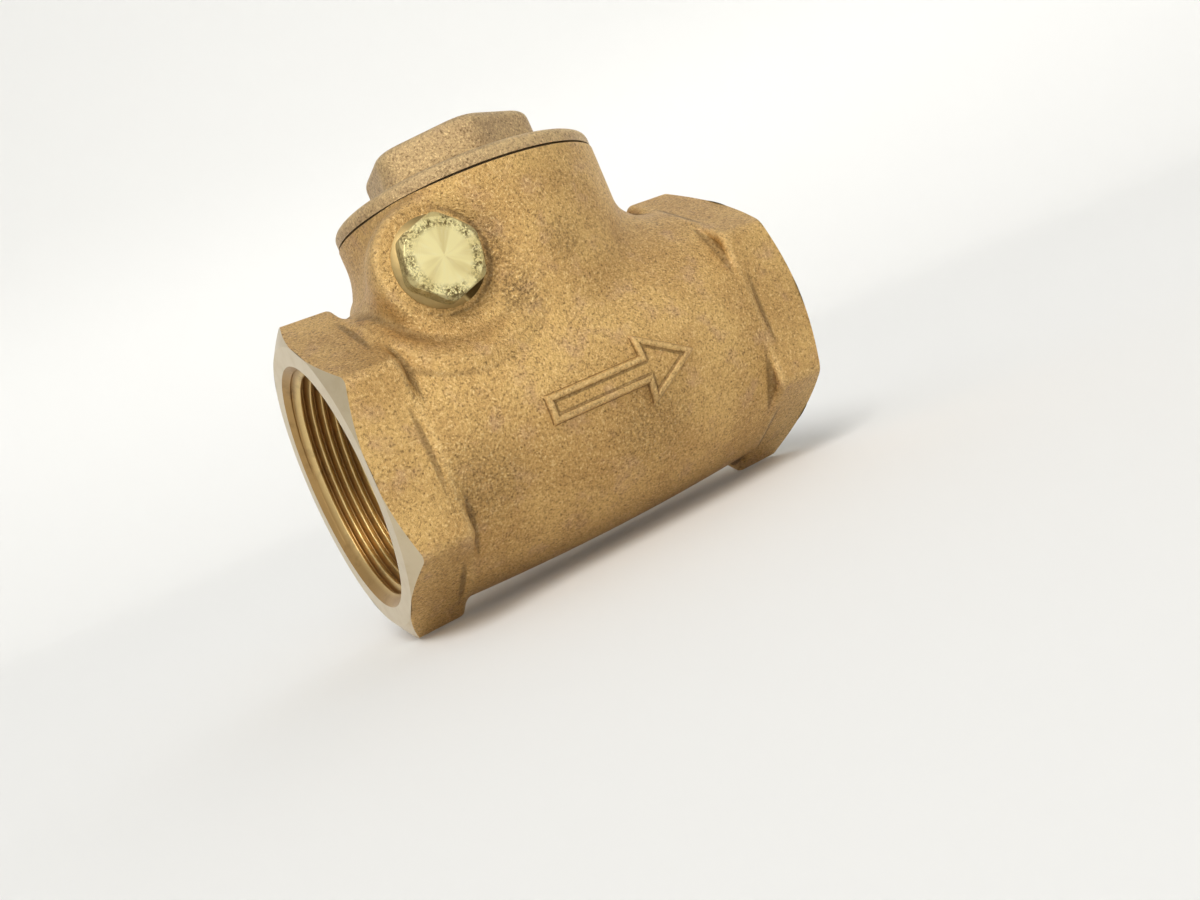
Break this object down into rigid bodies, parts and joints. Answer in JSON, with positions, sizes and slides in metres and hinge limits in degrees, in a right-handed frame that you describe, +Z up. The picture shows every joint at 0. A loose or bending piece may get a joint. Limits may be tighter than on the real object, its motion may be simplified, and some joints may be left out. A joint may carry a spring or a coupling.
{
  "type": "swing check valve",
  "caption": "Bronze swing check valve with hexagonal female threaded ends, a round side-branch neck closed by a screw-in hexagon cap, and a swinging disc inside.",
  "frame": {"origin": "centre of the inlet's end face, on the flow axis", "axes": "+X with the flow, from inlet to outlet; +Z up through the cap; the hinge pin's plug is on the -Y side"},
  "size_m": [0.097, 0.0619, 0.0899],
  "materials": {
    "cast_bronze": "sand-cast bronze skin with machined faces",
    "plug_brass": "turned yellow brass",
    "turned_brass": "turned",
    "turned_bronze": "turned",
    "hinge_bronze": "cast",
    "stainless": "ground",
    "seat_polymer": "matt white polymer",
    "gasket": "matt fibre"
  },
  "bodies": {
    "valve_body": {"body": "cast_bronze", "cap": "cast_bronze", "cap_gasket": "gasket", "hinge_pin": "stainless", "hinge_pin_plug": "plug_brass", "plug_gasket": "gasket"},
    "hinge_arm": {"disc_hinge": "hinge_bronze"},
    "disc": {"disc": "turned_bronze", "seat_disc": "seat_polymer", "seat_disc_washer": "stainless", "seat_disc_nut": "turned_brass", "disc_washer": "stainless", "disc_nut": "turned_brass", "lock_pin": "stainless"}
  },
  "joints": [
    {"name": "disc_swing", "type": "hinge", "parent": "valve_body", "child": "hinge_arm", "pos_m": [0.0278, 0, 0.0305], "axis": [0, -1, 0], "range_deg": [0, 68]},
    {"name": "disc_spin", "type": "hinge", "parent": "hinge_arm", "child": "disc", "pos_m": [0.032, 0, 0], "axis": [1, 0, 0], "continuous": true}
  ]
}
